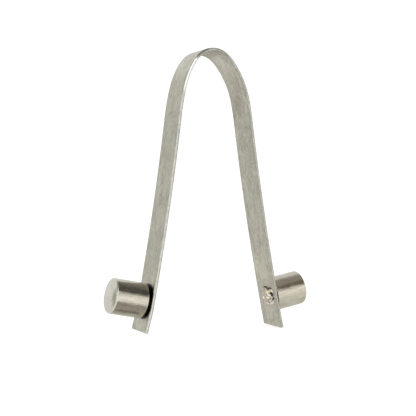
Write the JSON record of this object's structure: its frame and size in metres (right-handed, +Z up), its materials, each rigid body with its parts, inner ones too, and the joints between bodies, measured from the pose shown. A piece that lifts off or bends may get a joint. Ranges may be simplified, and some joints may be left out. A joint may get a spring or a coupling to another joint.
{
  "type": "double snap-button spring clip",
  "caption": "Bent leaf spring with two opposed round locking buttons that snap through the holes of telescoping tubes.",
  "frame": {"origin": "under the middle of the clip, level with the two leg tips: the centre of the bounding box's bottom face", "axes": "+Z up towards the crown of the bend, +X along the right button's side, Y across the width of the strip, with the legs splayed in the XZ plane"},
  "size_m": [0.0506, 0.008, 0.0656],
  "materials": {
    "spring_steel": "satin rolled strip with fine lengthwise grain and darker mottling",
    "button_plating": "bright warm nickel plate over a turned surface"
  },
  "bodies": {
    "crown": {"spring_bend": "spring_steel"},
    "left_arm": {"left_leg": "spring_steel", "left_button": "button_plating"},
    "right_arm": {"right_leg": "spring_steel", "right_button": "button_plating"}
  },
  "joints": [
    {"name": "left_button_press", "type": "hinge", "parent": "crown", "child": "left_arm", "pos_m": [-0.00935, 0, 0.04806], "axis": [0, -1, 0], "range_deg": [0, 19.5], "stiffness_Nm_per_rad": 1.46},
    {"name": "right_button_press", "type": "hinge", "parent": "crown", "child": "right_arm", "pos_m": [0.00935, 0, 0.04806], "axis": [0, 1, 0], "range_deg": [0, 19.5], "stiffness_Nm_per_rad": 1.46}
  ]
}
